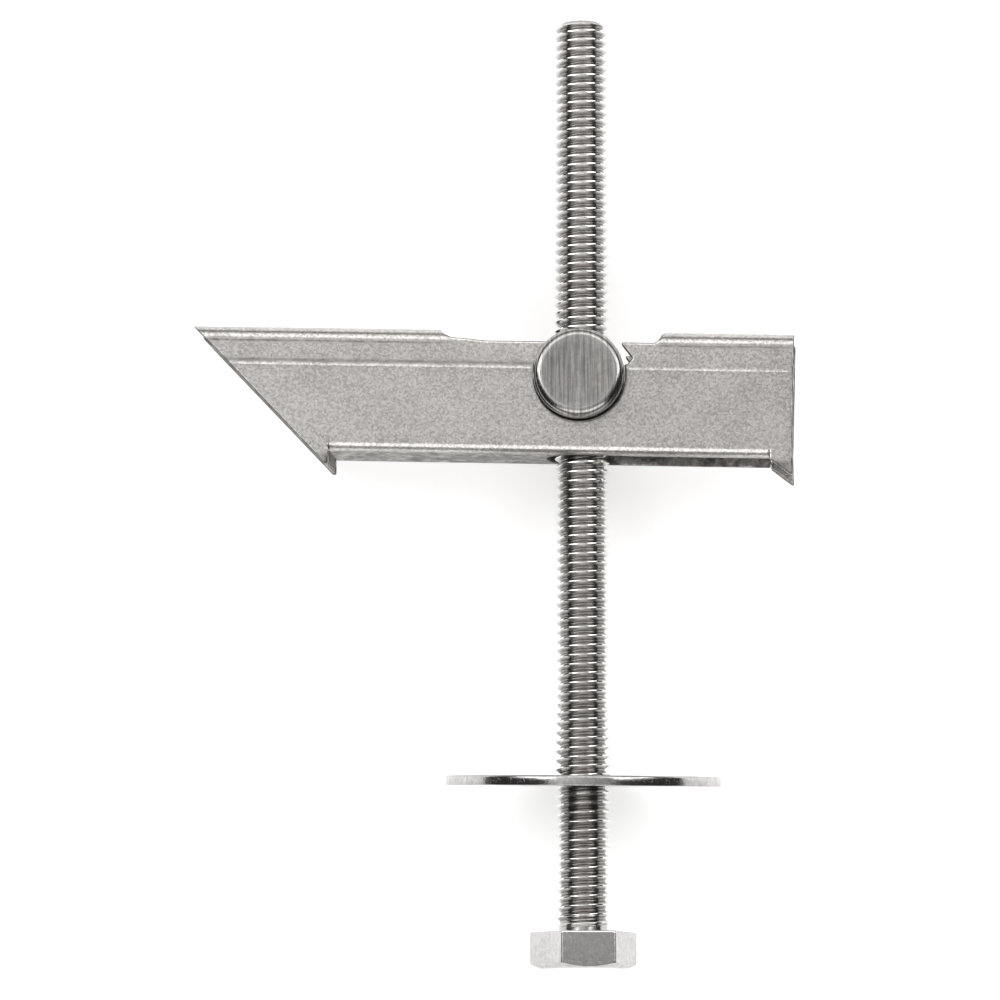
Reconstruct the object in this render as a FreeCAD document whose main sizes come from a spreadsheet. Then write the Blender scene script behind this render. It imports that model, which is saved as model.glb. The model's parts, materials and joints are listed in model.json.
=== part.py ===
import FreeCAD, Part
import math
import os

import Sketcher

# Tilting toggle anchor, in millimetres: a long hexagon bolt with a large washer, a
# barrel nut screwed on to it and a channel of folded sheet steel that tilts on the nut.
#
# Each piece is drawn about its own natural point: the bolt under its head, the washer
# in its middle, nut and channel on the axis on which the channel tilts. In all of them
# +Y runs along the bolt to its tip, +X along the channel away from its slanted nose and
# +Z along the nut. The last section lays the whole on the ground.

doc = FreeCAD.newDocument("tilting_toggle_anchor")
sheet = doc.addObject("Spreadsheet::Sheet", "sizes")

# Driving sizes in millimetres and degrees: each goes into a cell under its own name.
SIZES = {
    # Bolt
    "bolt_length": 100,        # from under the head to the tip
    "shank_width": 5.95,       # outside diameter of the M6 thread
    "tip_bevel": 0.7,          # bevel at the tip
    "neck_width": 5.3,         # diameter of the neck under the head
    "neck_length": 0.7,        # length of the neck
    "neck_ramp": 0.4,          # rise from the neck to the first full thread
    "head_flats": 10,          # across the flats of the head
    "head_height": 4,          # height of the head
    "head_bevel": 0.3,         # end face inside the flats, from where the bevel starts
    "head_bevel_angle": 28,    # slope of that bevel against the end face
    "head_turn": 10,           # turn of the head's upper flat away from the vertical
    # Washer
    "washer_width": 30,        # outside diameter
    "washer_play": 0.225,      # gap all round between bolt and washer
    "washer_thickness": 1.1,   # sheet of the washer
    "washer_edge": 0.2,        # bevel of the punched edges
    "washer_place": 16.3,      # middle of the washer, from under the head
    "washer_lean_angle": 4.6,  # lean of the washer against a square seat on the bolt
    "washer_skew_angle": 0.4,  # small sideways lean of the washer
    # Barrel nut
    "nut_width": 9.8,          # diameter of the barrel
    "nut_proud": 2.3,          # how far the barrel stands out of each wall
    "nut_edge": 0.9,           # rounding of the barrel's ends
    "nut_play": 0.05,          # gap all round between bolt and bore
    "nut_bevel": 0.5,          # bevel at both mouths of the bore
    "nut_place": 60,           # axis of the barrel, from under the head
    # Channel of folded sheet: its section
    "sheet_thickness": 1.0,    # sheet of the channel
    "swing_play": 0.325,       # gap on both sides of the bolt in lips and web
    "lip_width": 1.4,          # each lip, over the wall
    "lip_bend": 1.35,          # outside radius of the rolled lips
    "web_bend": 1.25,          # outside radius of the bends beside the web
    "lip_height": 4.95,        # top of the lips above the tilting axis
    "web_depth": 8.65,         # underside of the web below the tilting axis
    "crease_depth": 0.2,       # how far the wall steps in below the crease
    "crease_place": 0.7,       # foot of the crease above the tilting axis
    "crease_height": 0.7,      # height of the sloping step
    # Channel: its side view
    "nose_reach": 42.6,        # tip of the nose from the tilting axis
    "nose_angle": 45,          # slope of the nose
    "tail_reach": 23.15,       # straight end from the tilting axis
    "rim_height": 3.64,        # edge of the wall between the lips, above the tilting axis
    "rim_rise": 0.26,          # low swell of that edge beside the long lips
    "rim_swell": 4.4,          # length of the swell
    "lips_nose": 15.1,         # end of the long lips from the tilting axis
    "lips_tail": 8.0,          # start of the short lips from the tilting axis
    "lips_ramp": 1.1,          # length of the rising start of the short lips
    "web_nose": 27.1,          # end of the web towards the nose
    "web_tail": 20.7,          # end of the web towards the straight end
    "foot_nose": 1.45,         # drop of the pointed feet below the web
    "foot_tail": 1.95,         # drop of the sloping feet below the web
    "foot_spread": 0.15,       # how far the sloping feet reach past the straight end
    "foot_start": 0.1,         # drop of the sloping feet where the web ends
    "seat_play": 0.06,         # gap all round between barrel and seat
    "slot_play": 0.625,        # gap between bolt and the round end of the slot
    "nick_drop": 2.38,         # depth of the nick beside the seat, below the edge
    "nick_width": 0.9,         # width of the nick at its mouth
    "nick_reach": 0.74,        # how far the nick's corner lies outside the seat
    "nick_corner": 1.72,       # depth of the nick's outer corner below the edge
    "beam_turn": 1.7,          # turn of the channel, nose towards the tip of the bolt
}
for row, (alias, number) in enumerate(SIZES.items(), 1):
    sheet.set("A%d" % row, alias)
    sheet.set("B%d" % row, str(number))
    sheet.setAlias("B%d" % row, alias)
doc.recompute()

# Sizes that follow from others, as expressions
SHANK = "(sizes.shank_width / 2)"
GAP = "(sizes.shank_width / 2 + sizes.swing_play)"
UPPER = "(sizes.shank_width / 2 + sizes.swing_play + sizes.lip_width)"
LOWER = "(%s - sizes.crease_depth)" % UPPER
BARREL = "(sizes.nut_width / 2)"
SEAT = "(sizes.nut_width / 2 + sizes.seat_play)"
BORE = "(sizes.shank_width / 2 + sizes.nut_play)"
NUT_HALF = "(%s + sizes.nut_proud)" % UPPER
FAR = "(sizes.nose_reach + sizes.tail_reach)"


def value(expression):
    """Work out an expression written with the names of the sheet."""
    return float(sheet.evalExpression(expression))


def new_body(label):
    body = doc.addObject("PartDesign::Body", label)
    body.Label = label
    return body


def new_sketch(body, name, role, lift=None):
    """Put an empty sketch on one of the body's own planes."""
    sketch = body.newObject("Sketcher::SketchObject", name)
    for plane in body.Origin.OriginFeatures:
        if plane.Role == role:
            sketch.AttachmentSupport = (plane, [""])
    sketch.MapMode = "FlatFace"
    if lift:
        sketch.setExpression(".AttachmentOffset.Base.z", lift)
    return sketch


def place_point(sketch, index, end, across, up):
    """Tie one point of a sketch to two expressions."""
    for kind, axis, text in (("DistanceX", -2, across), ("DistanceY", -1, up)):
        if text == "0":
            sketch.addConstraint(Sketcher.Constraint("PointOnObject", index, end, axis))
        else:
            number = sketch.addConstraint(
                Sketcher.Constraint(kind, -1, 1, index, end, value(text)))
            sketch.setExpression("Constraints[%d]" % number, text)


def outline(sketch, points):
    """Draw a closed outline of straight lines through points given as expressions."""
    spots = [FreeCAD.Vector(value(across), value(up), 0) for across, up in points]
    first = sketch.GeometryCount
    for number, spot in enumerate(spots):
        sketch.addGeometry(Part.LineSegment(spot, spots[(number + 1) % len(spots)]), False)
    for number in range(len(spots)):
        following = first + (number + 1) % len(spots)
        sketch.addConstraint(
            Sketcher.Constraint("Coincident", first + number, 2, following, 1))
    for number, (across, up) in enumerate(points):
        place_point(sketch, first + number, 1, across, up)


def circle(sketch, radius):
    """Draw a circle round the sketch's origin."""
    round_line = Part.Circle(FreeCAD.Vector(0, 0, 0), FreeCAD.Vector(0, 0, 1), value(radius))
    index = sketch.addGeometry(round_line, False)
    sketch.addConstraint(Sketcher.Constraint("Coincident", index, 3, -1, 1))
    number = sketch.addConstraint(Sketcher.Constraint("Radius", index, value(radius)))
    sketch.setExpression("Constraints[%d]" % number, radius)


def turned(body, kind, name, sketch, axis="V_Axis"):
    """Revolve a sketch about one of its own axes, to add or to cut."""
    feature = body.newObject("PartDesign::" + kind, name)
    feature.Profile = sketch
    feature.ReferenceAxis = (sketch, [axis])
    feature.Angle = 360
    body.Tip = feature
    doc.recompute()
    return feature


def cut_through(body, name, sketch, sides="Symmetric", flipped=False):
    """Cut a sketch through the whole body, and make sure that it took metal away."""
    before = body.Shape.Volume
    feature = body.newObject("PartDesign::Pocket", name)
    feature.Profile = sketch
    feature.SideType = sides
    feature.Type = "Length"
    feature.Reversed = flipped
    feature.setExpression("Length", "2 * " + FAR)
    body.Tip = feature
    doc.recompute()
    if body.Shape.Volume > before - 1e-6:
        raise RuntimeError(name + " cuts nothing")
    return feature


def ease_edges(body, kind, name, size, wanted):
    """Fillet or chamfer the edges of the body that the test named wanted accepts."""
    base = body.Tip
    names = []
    for number, edge in enumerate(base.Shape.Edges):
        if wanted(edge):
            names.append("Edge%d" % (number + 1))
    if not names:
        raise RuntimeError(name + " finds no edge")
    feature = body.newObject("PartDesign::" + kind, name)
    feature.Base = (base, names)
    measure = "Radius" if kind == "Fillet" else "Size"
    setattr(feature, measure, value(size))
    feature.setExpression(measure, size)
    body.Tip = feature
    doc.recompute()
    return feature


# Hexagon bolt. The shank is turned, with a bevelled tip and a short neck under the
# head; the head is a hexagon whose end face is bevelled to a circle.
bolt = new_body("hex_bolt")
shank_sketch = new_sketch(bolt, "shank_profile", "XY_Plane")
outline(shank_sketch, [
    ("0", "-sizes.head_height / 2"),
    ("sizes.neck_width / 2", "-sizes.head_height / 2"),
    ("sizes.neck_width / 2", "sizes.neck_length"),
    (SHANK, "sizes.neck_length + sizes.neck_ramp"),
    (SHANK, "sizes.bolt_length - sizes.tip_bevel"),
    (SHANK + " - sizes.tip_bevel", "sizes.bolt_length"),
    ("0", "sizes.bolt_length"),
])
turned(bolt, "Revolution", "shank", shank_sketch)

head_sketch = new_sketch(bolt, "head_hexagon", "XZ_Plane")
corners = []
for number in range(6):
    angle = "(%d - sizes.head_turn)" % (60 * number)
    corners.append(("sizes.head_flats / sqrt(3) * cos(%s)" % angle,
                    "sizes.head_flats / sqrt(3) * sin(%s)" % angle))
outline(head_sketch, corners)
head = bolt.newObject("PartDesign::Pad", "head")
head.Profile = head_sketch
head.Length = value("sizes.head_height")
head.setExpression("Length", "sizes.head_height")
bolt.Tip = head
doc.recompute()

FACE = "(sizes.head_flats / 2 - sizes.head_bevel)"
bevel_sketch = new_sketch(bolt, "head_bevel_profile", "XY_Plane")
outline(bevel_sketch, [
    (FACE, "-sizes.head_height"),
    ("sizes.head_flats", "-sizes.head_height"),
    ("sizes.head_flats",
     "-sizes.head_height + (sizes.head_flats - %s) * tan(sizes.head_bevel_angle)" % FACE),
])
turned(bolt, "Groove", "head_bevels", bevel_sketch)

# Flat washer, punched from sheet: a plain ring with slightly bevelled edges.
washer = new_body("flat_washer")
washer_sketch = new_sketch(washer, "washer_section", "XY_Plane")
WASHER_BORE = SHANK + " + sizes.washer_play"
outline(washer_sketch, [
    (WASHER_BORE, "-sizes.washer_thickness / 2"),
    ("sizes.washer_width / 2", "-sizes.washer_thickness / 2"),
    ("sizes.washer_width / 2", "sizes.washer_thickness / 2"),
    (WASHER_BORE, "sizes.washer_thickness / 2"),
])
turned(washer, "Revolution", "ring", washer_sketch)
ease_edges(washer, "Chamfer", "punched_edges", "sizes.washer_edge",
           lambda edge: edge.Curve.TypeId == "Part::GeomCircle")

# Barrel nut: a round bar with rounded ends and a crosswise threaded bore.
nut = new_body("trunnion_nut")
barrel_sketch = new_sketch(nut, "barrel_profile", "XZ_Plane")
outline(barrel_sketch, [
    ("0", "-" + NUT_HALF),
    (BARREL, "-" + NUT_HALF),
    (BARREL, NUT_HALF),
    ("0", NUT_HALF),
])
turned(nut, "Revolution", "barrel", barrel_sketch)
ease_edges(nut, "Fillet", "barrel_ends", "sizes.nut_edge",
           lambda edge: edge.Curve.TypeId == "Part::GeomCircle")
bore_sketch = new_sketch(nut, "bore_circle", "XZ_Plane")
circle(bore_sketch, BORE)
cut_through(nut, "bore", bore_sketch)
mouth_sketch = new_sketch(nut, "bore_mouths", "XY_Plane")
for side in ("", "-"):
    outline(mouth_sketch, [
        ("0", side + "(" + BARREL + " - sizes.nut_bevel)"),
        (BORE, side + "(" + BARREL + " - sizes.nut_bevel)"),
        (BORE + " + 2 * sizes.nut_bevel", side + "(" + BARREL + " + sizes.nut_bevel)"),
        ("0", side + "(" + BARREL + " + sizes.nut_bevel)"),
    ])
turned(nut, "Groove", "bore_bevels", mouth_sketch)

# Channel of folded sheet. One strip is bent to a section with a closed web towards
# the bolt's head, a creased wall on each side and a lip rolled in over each wall.
beam = new_body("toggle_beam")
section_sketch = new_sketch(beam, "channel_section", "YZ_Plane")
half = [
    ("-sizes.web_depth", LOWER),
    ("sizes.crease_place", LOWER),
    ("sizes.crease_place + sizes.crease_height", UPPER),
    ("sizes.lip_height", UPPER),
    ("sizes.lip_height", GAP),
    ("sizes.lip_height - sizes.sheet_thickness", GAP),
    ("sizes.lip_height - sizes.sheet_thickness", UPPER + " - sizes.sheet_thickness"),
    ("sizes.crease_place + sizes.crease_height", UPPER + " - sizes.sheet_thickness"),
    ("sizes.crease_place", LOWER + " - sizes.sheet_thickness"),
    ("sizes.sheet_thickness - sizes.web_depth", LOWER + " - sizes.sheet_thickness"),
]
other_half = [(across, "-(" + up + ")") for across, up in reversed(half)]
outline(section_sketch, half + other_half)
channel = beam.newObject("PartDesign::Pad", "channel")
channel.Profile = section_sketch
channel.SideType = "Two sides"
channel.setExpression("Length", "sizes.tail_reach")
channel.setExpression("Length2", "sizes.nose_reach")
beam.Tip = channel
doc.recompute()


def bends(name, radius, height, width):
    """Round the pair of long edges at one height and one distance from the middle."""
    height = value(height)
    width = value(width)

    def wanted(edge):
        box = edge.BoundBox
        return (box.XLength > 1 and box.YLength < 1e-6 and box.ZLength < 1e-6
                and abs(box.YMin - height) < 1e-4 and abs(abs(box.ZMin) - width) < 1e-4)

    ease_edges(beam, "Fillet", name, radius, wanted)


bends("web_bends_outside", "sizes.web_bend", "-sizes.web_depth", LOWER)
bends("web_bends_inside", "max(sizes.web_bend - sizes.sheet_thickness; 0.05)",
      "sizes.sheet_thickness - sizes.web_depth", LOWER + " - sizes.sheet_thickness")
bends("lip_bends_outside", "min(sizes.lip_bend; sizes.lip_width - 0.02)",
      "sizes.lip_height", UPPER)
bends("lip_bends_inside",
      "min(max(sizes.lip_bend - sizes.sheet_thickness; 0.05);"
      " (sizes.lip_width - sizes.sheet_thickness) * 0.9)",
      "sizes.lip_height - sizes.sheet_thickness", UPPER + " - sizes.sheet_thickness")

# The nose is sheared off at a slant, longest at the lips.
NOSE_LOW = ("-(sizes.nose_reach"
            " - (sizes.lip_height + 2 * sizes.web_depth) / tan(sizes.nose_angle))")
nose_sketch = new_sketch(beam, "nose_cut", "XY_Plane")
outline(nose_sketch, [
    ("-sizes.nose_reach", "sizes.lip_height"),
    (NOSE_LOW, "-2 * sizes.web_depth"),
    ("-sizes.nose_reach - 5", "-2 * sizes.web_depth"),
    ("-sizes.nose_reach - 5", "sizes.lip_height"),
])
cut_through(beam, "nose", nose_sketch)

# Between the lips the wall ends in a bare edge, with a low swell beside the long lips
# and a rising start of the short ones.
rim_sketch = new_sketch(beam, "rim_cut", "XY_Plane")
outline(rim_sketch, [
    ("-sizes.lips_nose", "sizes.rim_height + sizes.rim_rise * 0.6"),
    ("-sizes.lips_nose + sizes.rim_swell / 2", "sizes.rim_height + sizes.rim_rise"),
    ("-sizes.lips_nose + sizes.rim_swell", "sizes.rim_height"),
    ("sizes.lips_tail", "sizes.rim_height"),
    ("sizes.lips_tail + sizes.lips_ramp", "sizes.lip_height + 0.01"),
    ("sizes.lips_tail + sizes.lips_ramp", "2 * sizes.lip_height"),
    ("-sizes.lips_nose", "2 * sizes.lip_height"),
])
cut_through(beam, "rim", rim_sketch)

# Round seats for the barrel nut, open at the top but closing over its middle, and the
# nick beside them.
seat_sketch = new_sketch(beam, "seat_circle", "XY_Plane")
circle(seat_sketch, SEAT)
cut_through(beam, "seats", seat_sketch)
SEAT_TOP = "sqrt(%s * %s - sizes.rim_height * sizes.rim_height)" % (SEAT, SEAT)
NICK_LOW = "(sizes.rim_height - sizes.nick_drop)"
SEAT_LOW = "sqrt(%s * %s - %s * %s)" % (SEAT, SEAT, NICK_LOW, NICK_LOW)
NICK_HIGH = "(sizes.rim_height - sizes.nick_corner)"
nick_sketch = new_sketch(beam, "nick_cut", "XY_Plane")
outline(nick_sketch, [
    (SEAT_TOP + " - 0.2", "sizes.rim_height + 0.4"),
    (SEAT_TOP + " + sizes.nick_width - 0.3", "sizes.rim_height + 0.4"),
    (SEAT + " + sizes.nick_reach", NICK_HIGH),
    (SEAT_LOW + " + sizes.nick_reach / 2", NICK_LOW),
    (SEAT_LOW + " - 0.4", NICK_LOW + " - 0.1"),
])
cut_through(beam, "nicks", nick_sketch)

# The web ends short of both ends of the walls. Past it the walls run on flat and stand
# below the web as four feet: a pointed pair at the nose, a sloping pair at the tail.
BEND_START = "(sizes.web_bend - sizes.web_depth)"
ends_sketch = new_sketch(beam, "web_ends", "XY_Plane")
outline(ends_sketch, [
    ("-sizes.web_nose", BEND_START),
    ("-sizes.web_nose", "-2 * sizes.web_depth"),
    ("-2 * sizes.nose_reach", "-2 * sizes.web_depth"),
    ("-2 * sizes.nose_reach", BEND_START),
])
outline(ends_sketch, [
    ("sizes.web_tail", BEND_START),
    ("2 * sizes.tail_reach", BEND_START),
    ("2 * sizes.tail_reach", "-2 * sizes.web_depth"),
    ("sizes.web_tail", "-2 * sizes.web_depth"),
])
cut_through(beam, "web_end_cuts", ends_sketch)

OVERLAP = "(%s + sizes.sheet_thickness / 2)" % BEND_START
FOOT_NOSE = "(-sizes.web_depth - sizes.foot_nose)"
foot_sketch = new_sketch(beam, "feet_outlines", "XY_Plane", LOWER + " - sizes.sheet_thickness")
outline(foot_sketch, [
    ("-sizes.web_nose", OVERLAP),
    ("-sizes.web_nose", FOOT_NOSE),
    ("-(sizes.nose_reach - (sizes.lip_height - %s) / tan(sizes.nose_angle))" % FOOT_NOSE,
     FOOT_NOSE),
    ("-(sizes.nose_reach - (sizes.lip_height - %s) / tan(sizes.nose_angle))" % OVERLAP,
     OVERLAP),
])
outline(foot_sketch, [
    ("sizes.web_tail", OVERLAP),
    ("sizes.tail_reach", OVERLAP),
    ("sizes.tail_reach + sizes.foot_spread", "-sizes.web_depth - sizes.foot_tail"),
    ("sizes.web_tail", "-sizes.web_depth - sizes.foot_start"),
])
feet = beam.newObject("PartDesign::Pad", "feet")
feet.Profile = foot_sketch
feet.Length = value("sizes.sheet_thickness")
feet.setExpression("Length", "sizes.sheet_thickness")
beam.Tip = feet
doc.recompute()
more_feet = beam.newObject("PartDesign::Mirrored", "feet_opposite")
more_feet.Originals = [feet]
for plane in beam.Origin.OriginFeatures:
    if plane.Role == "XY_Plane":
        more_feet.MirrorPlane = (plane, [""])
beam.Tip = more_feet
doc.recompute()

# A slot in the web lets the bolt through and lets it swing out at the straight end
# when the channel is folded along the bolt.
slot_sketch = new_sketch(beam, "slot_outline", "XZ_Plane")
SLOT_MIDDLE = "(%s - %s - sizes.slot_play)" % (GAP, SHANK)
middle = FreeCAD.Vector(value(SLOT_MIDDLE), 0, 0)
reach = value("2 * sizes.tail_reach")
gap = value(GAP)
round_end = Part.ArcOfCircle(
    Part.Circle(middle, FreeCAD.Vector(0, 0, 1), gap), math.pi / 2, 3 * math.pi / 2)
slot_sketch.addGeometry(round_end, False)
slot_sketch.addGeometry(Part.LineSegment(
    FreeCAD.Vector(middle.x, -gap, 0), FreeCAD.Vector(reach, -gap, 0)), False)
slot_sketch.addGeometry(Part.LineSegment(
    FreeCAD.Vector(reach, -gap, 0), FreeCAD.Vector(reach, gap, 0)), False)
slot_sketch.addGeometry(Part.LineSegment(
    FreeCAD.Vector(reach, gap, 0), FreeCAD.Vector(middle.x, gap, 0)), False)
slot_sketch.addConstraint(Sketcher.Constraint("Coincident", 0, 2, 1, 1))
slot_sketch.addConstraint(Sketcher.Constraint("Coincident", 1, 2, 2, 1))
slot_sketch.addConstraint(Sketcher.Constraint("Coincident", 2, 2, 3, 1))
slot_sketch.addConstraint(Sketcher.Constraint("Coincident", 3, 2, 0, 1))
slot_sketch.addConstraint(Sketcher.Constraint("Horizontal", 1))
slot_sketch.addConstraint(Sketcher.Constraint("Horizontal", 3))
slot_sketch.addConstraint(Sketcher.Constraint("Vertical", 2))
slot_sketch.addConstraint(Sketcher.Constraint("Vertical", 0, 1, 0, 3))
slot_sketch.addConstraint(Sketcher.Constraint("PointOnObject", 0, 3, -1))
number = slot_sketch.addConstraint(Sketcher.Constraint("Radius", 0, gap))
slot_sketch.setExpression("Constraints[%d]" % number, GAP)
number = slot_sketch.addConstraint(Sketcher.Constraint("DistanceX", -1, 1, 0, 3, middle.x))
slot_sketch.setExpression("Constraints[%d]" % number, SLOT_MIDDLE)
number = slot_sketch.addConstraint(Sketcher.Constraint("DistanceX", -1, 1, 1, 2, reach))
slot_sketch.setExpression("Constraints[%d]" % number, "2 * sizes.tail_reach")
cut_through(beam, "web_slot", slot_sketch, "One side", True)

# The whole lies on the ground as it would come to rest: the bolt's tip, the washer's
# rim and the nose of the channel touch it. The bolt dips towards its tip and is rolled
# about its own axis until the nose is down.
ALONG = FreeCAD.Vector(0, 1, 0)
ACROSS = FreeCAD.Vector(1, 0, 0)
UPRIGHT = FreeCAD.Vector(0, 0, 1)
NOWHERE = FreeCAD.Vector(0, 0, 0)


def turn(axis, degrees):
    return FreeCAD.Placement(NOWHERE, FreeCAD.Rotation(axis, degrees))


def shift(x, y, z):
    return FreeCAD.Placement(FreeCAD.Vector(x, y, z), FreeCAD.Rotation())


on_bolt = {
    bolt: shift(0, -value("sizes.nut_place"), 0),
    nut: shift(0, 0, 0),
    beam: turn(UPRIGHT, -value("sizes.beam_turn")),
}
plain = {body: body.Shape.copy() for body in (bolt, washer, nut, beam)}


def washer_on_bolt(roll):
    """The washer leans in the upright plane, however far the bolt is rolled."""
    return (shift(0, value("sizes.washer_place") - value("sizes.nut_place"), 0)
            * turn(ALONG, roll)
            * turn(ACROSS, value("sizes.washer_lean_angle"))
            * turn(UPRIGHT, -value("sizes.washer_skew_angle")))


def lowest(body, placement):
    shape = plain[body].copy()
    shape.Placement = placement
    return shape.optimalBoundingBox(False, False).ZMin


def lie(dip, roll):
    """Turn everything by a dip of the bolt and a roll about it, in degrees."""
    return turn(ACROSS, -dip) * turn(ALONG, -roll)


def settle():
    """Find dip and roll at which tip, rim and nose are equally low."""
    dip = 8.0
    roll = 4.0
    step = 0.01

    def misses(dip, roll):
        ground = lie(dip, roll)
        tip = lowest(bolt, ground * on_bolt[bolt])
        rim = lowest(washer, ground * washer_on_bolt(roll))
        nose = lowest(beam, ground * on_bolt[beam])
        return rim - tip, nose - tip, tip

    for attempt in range(12):
        first, second, low = misses(dip, roll)
        if abs(first) < 1e-5 and abs(second) < 1e-5:
            break
        more_dip = misses(dip + step, roll)
        more_roll = misses(dip, roll + step)
        a = (more_dip[0] - first) / step
        b = (more_roll[0] - first) / step
        c = (more_dip[1] - second) / step
        d = (more_roll[1] - second) / step
        whole = a * d - b * c
        dip = dip - (d * first - b * second) / whole
        roll = roll - (a * second - c * first) / whole
    return dip, roll


dip, roll = settle()
on_bolt[washer] = washer_on_bolt(roll)
ground = lie(dip, roll)
together = []
for body in (bolt, washer, nut, beam):
    shape = plain[body].copy()
    shape.Placement = ground * on_bolt[body]
    together.append(shape)
box = Part.makeCompound(together).optimalBoundingBox(False, False)
stand = shift(-(box.XMin + box.XMax) / 2, -(box.YMin + box.YMax) / 2, -box.ZMin)
for body in (bolt, washer, nut, beam):
    body.Placement = stand * ground * on_bolt[body]
doc.recompute()

# Every object must be sound before anything is written.
for item in doc.Objects:
    if "Invalid" in item.State or "Error" in item.State:
        raise RuntimeError("%s is %s" % (item.Name, item.State))
for body in (bolt, washer, nut, beam):
    if body.Shape.isNull() or not body.Shape.isValid():
        raise RuntimeError(body.Label + " has no sound shape")
    if len(body.Shape.Solids) != 1:
        raise RuntimeError(body.Label + " is not one solid")

os.makedirs("parts", exist_ok=True)
for body in (bolt, washer, nut, beam):
    body.Shape.exportStep(os.path.join("parts", body.Label + ".step"))
    shape = body.Shape
    print("%-14s volume %8.1f mm3  faces %d" % (body.Label, shape.Volume, len(shape.Faces)))
pivot = (stand * ground).Base
print("dip %.4f roll %.4f" % (dip, roll))
print("pivot %.5f %.5f %.5f" % (pivot.x, pivot.y, pivot.z))
print("size %.4f %.4f %.4f" % (box.XLength, box.YLength, box.ZLength))
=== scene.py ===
import json
import math

import bmesh
import bpy
import numpy as np
from mathutils import Matrix, Vector
from mathutils.geometry import delaunay_2d_cdt


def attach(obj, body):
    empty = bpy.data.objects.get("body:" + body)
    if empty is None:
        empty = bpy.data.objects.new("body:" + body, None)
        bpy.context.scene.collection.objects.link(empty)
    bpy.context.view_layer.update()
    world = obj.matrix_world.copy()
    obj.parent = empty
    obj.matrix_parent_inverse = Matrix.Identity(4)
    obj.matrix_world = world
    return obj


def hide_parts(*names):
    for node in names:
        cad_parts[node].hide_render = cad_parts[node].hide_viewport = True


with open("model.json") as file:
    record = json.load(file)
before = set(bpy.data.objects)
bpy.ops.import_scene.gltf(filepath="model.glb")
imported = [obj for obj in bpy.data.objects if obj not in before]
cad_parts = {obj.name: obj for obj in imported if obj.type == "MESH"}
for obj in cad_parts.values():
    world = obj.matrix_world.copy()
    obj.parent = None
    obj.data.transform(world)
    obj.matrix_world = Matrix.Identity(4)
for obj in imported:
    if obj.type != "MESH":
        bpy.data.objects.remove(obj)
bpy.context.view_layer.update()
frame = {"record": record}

# Hexagon bolt
# An M6 bolt of bright zinc-plated steel. The head is forged in one with the shank and
# bevelled to a circle; the thread is rolled and runs from a short neck to the tip.

MM = 0.001
WELD = 1e-7             # points nearer than this, in metres, are made one

# All pieces are built about the axis on which the channel tilts, with Y along the bolt,
# X along the channel and Z along the barrel nut, and are then laid down by this matrix.
joints = {joint["name"]: joint for joint in frame["record"]["behaviour"]["joints"]}
pivot = Vector(joints["beam_tilt"]["pos_m"])
along = Vector(joints["nut_travel"]["axis"]).normalized()
upright = -Vector(joints["beam_tilt"]["axis"]).normalized()
across = along.cross(upright).normalized()
LAID = Matrix.Translation(pivot) @ Matrix((across, along, upright)).transposed().to_4x4()

NUT_PLACE = 60.0        # from under the head to the tilting axis
BOLT_LENGTH = 100.0
THREAD_RADIUS = 2.975
THREAD_PITCH = 1.0
THREAD_DEPTH = 0.6
SHARP_HEIGHT = 0.866    # of the sixty degree profile before it is flattened, in pitches
CREST_CUT = 0.108       # what the flat crest takes off it, in pitches
CREST_SOFT = 0.04       # rounding of the crest and of the root, in pitches
ROOT_SOFT = 0.12
RUN_OUT = 1.2           # turns over which the thread dies out at the neck
SPARE_TURNS = 2.0       # turns of the strip past either end, drawn in to close the end faces
NECK_RADIUS = 2.62
NECK_END = 0.5
TIP_BEVEL = 0.7
SHADE_FULL = 2.4        # radius below which the hollows' painted shade is at its darkest and past which there is no painted shade
SHADE_ENDS = 2.95       # and past which they aren't darkened
HEAD_FLATS = 10.0
HEAD_HEIGHT = 4.0
HEAD_TURN = 10.0        # degrees, the upper flat is turned away from the vertical
HEAD_FACE = 4.7         # radius of the flat end face inside the bevel
HEAD_BEVEL = math.radians(28)
HEAD_SOFT = 0.09        # rounding of the bevel's two edges
UNDER_SOFT = 0.1        # rounding of the edge under the head
CORNER_ROUND = 0.16     # rounding of the six corners
CORNER_SPREAD = math.radians(3.2)  # half the angle that a rounded corner takes up
CORNER_RUBBED = 5.58    # radius past which the corners are worn


def socket(tree, name, kind, default=None, out=False):
    """Add a named socket to a node tree and return its identifier."""
    way = "OUTPUT" if out else "INPUT"
    item = tree.interface.new_socket(name=name, in_out=way, socket_type=kind)
    if default is not None:
        item.default_value = default
    return item.identifier


def wire(tree, node, **values):
    """Set or link a node's inputs, given by number (i0, i1 ...) or by name."""
    for name, given in values.items():
        if name[0] == "i" and name[1:].isdigit():
            target = node.inputs[int(name[1:])]
        else:
            target = node.inputs[name.replace("_", " ")]
        if isinstance(given, bpy.types.NodeSocket):
            tree.links.new(given, target)
        else:
            target.default_value = given
    return node


def sums(tree, operation, *terms, clamp=False):
    """A Math node on sockets or numbers; returns its result."""
    node = tree.nodes.new("ShaderNodeMath")
    node.operation = operation
    node.use_clamp = clamp
    for number, term in enumerate(terms):
        if isinstance(term, bpy.types.NodeSocket):
            tree.links.new(term, node.inputs[number])
        else:
            node.inputs[number].default_value = term
    return node.outputs[0]


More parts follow.
